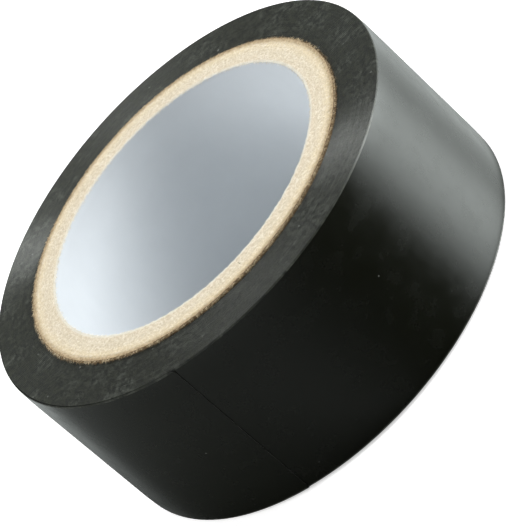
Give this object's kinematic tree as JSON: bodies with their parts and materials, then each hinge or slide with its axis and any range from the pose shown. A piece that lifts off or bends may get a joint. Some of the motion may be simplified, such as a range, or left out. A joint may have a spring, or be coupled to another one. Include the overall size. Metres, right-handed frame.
{
  "type": "electrical tape roll",
  "caption": "Roll of black PVC electrical tape wound on a paperboard core with a smooth white liner; its free end peels away and bends.",
  "frame": {"origin": "on the roll's axis at the lower end of the core, where the roll rests when it lies flat", "axes": "+Z along the roll's axis, upwards; +X and +Y across it, with the free end of the tape starting on -X"},
  "size_m": [0.0474, 0.0473, 0.0197],
  "materials": {
    "liner_paper": "satin",
    "paperboard": "matte",
    "pvc_film": "satin",
    "adhesive": "gloss"
  },
  "bodies": {
    "roll": {"core_liner": "liner_paper", "core_ply_1": "paperboard", "core_ply_2": "paperboard", "core_ply_3": "paperboard", "core_ply_4": "paperboard", "core_ply_5": "paperboard", "core_ply_6": "paperboard", "core_ply_7": "paperboard", "wound_film": "pvc_film", "wound_adhesive": "adhesive", "last_turn_film": "pvc_film", "last_turn_adhesive": "adhesive"},
    "tail_1": {"tail_film_1": "pvc_film", "tail_adhesive_1": "adhesive"},
    "tail_2": {"tail_film_2": "pvc_film", "tail_adhesive_2": "adhesive"},
    "tail_3": {"tail_film_3": "pvc_film", "tail_adhesive_3": "adhesive"},
    "tail_4": {"tail_film_4": "pvc_film", "tail_adhesive_4": "adhesive"},
    "tail_5": {"tail_film_5": "pvc_film", "tail_adhesive_5": "adhesive"}
  },
  "joints": [
    {"name": "tail_bend_1", "type": "hinge", "parent": "roll", "child": "tail_1", "pos_m": [-0.02371, 0, 0.00983], "axis": [0, 0, -1], "range_deg": [0, 30]},
    {"name": "tail_bend_2", "type": "hinge", "parent": "tail_1", "child": "tail_2", "pos_m": [-0.02319, -0.0049, 0.00983], "axis": [0, 0, -1], "range_deg": [0, 30]},
    {"name": "tail_bend_3", "type": "hinge", "parent": "tail_2", "child": "tail_3", "pos_m": [-0.02168, -0.00959, 0.00983], "axis": [0, 0, -1], "range_deg": [0, 30]},
    {"name": "tail_bend_4", "type": "hinge", "parent": "tail_3", "child": "tail_4", "pos_m": [-0.01924, -0.01387, 0.00983], "axis": [0, 0, -1], "range_deg": [0, 30]},
    {"name": "tail_bend_5", "type": "hinge", "parent": "tail_4", "child": "tail_5", "pos_m": [-0.01596, -0.01755, 0.00983], "axis": [0, 0, -1], "range_deg": [0, 30]}
  ]
}
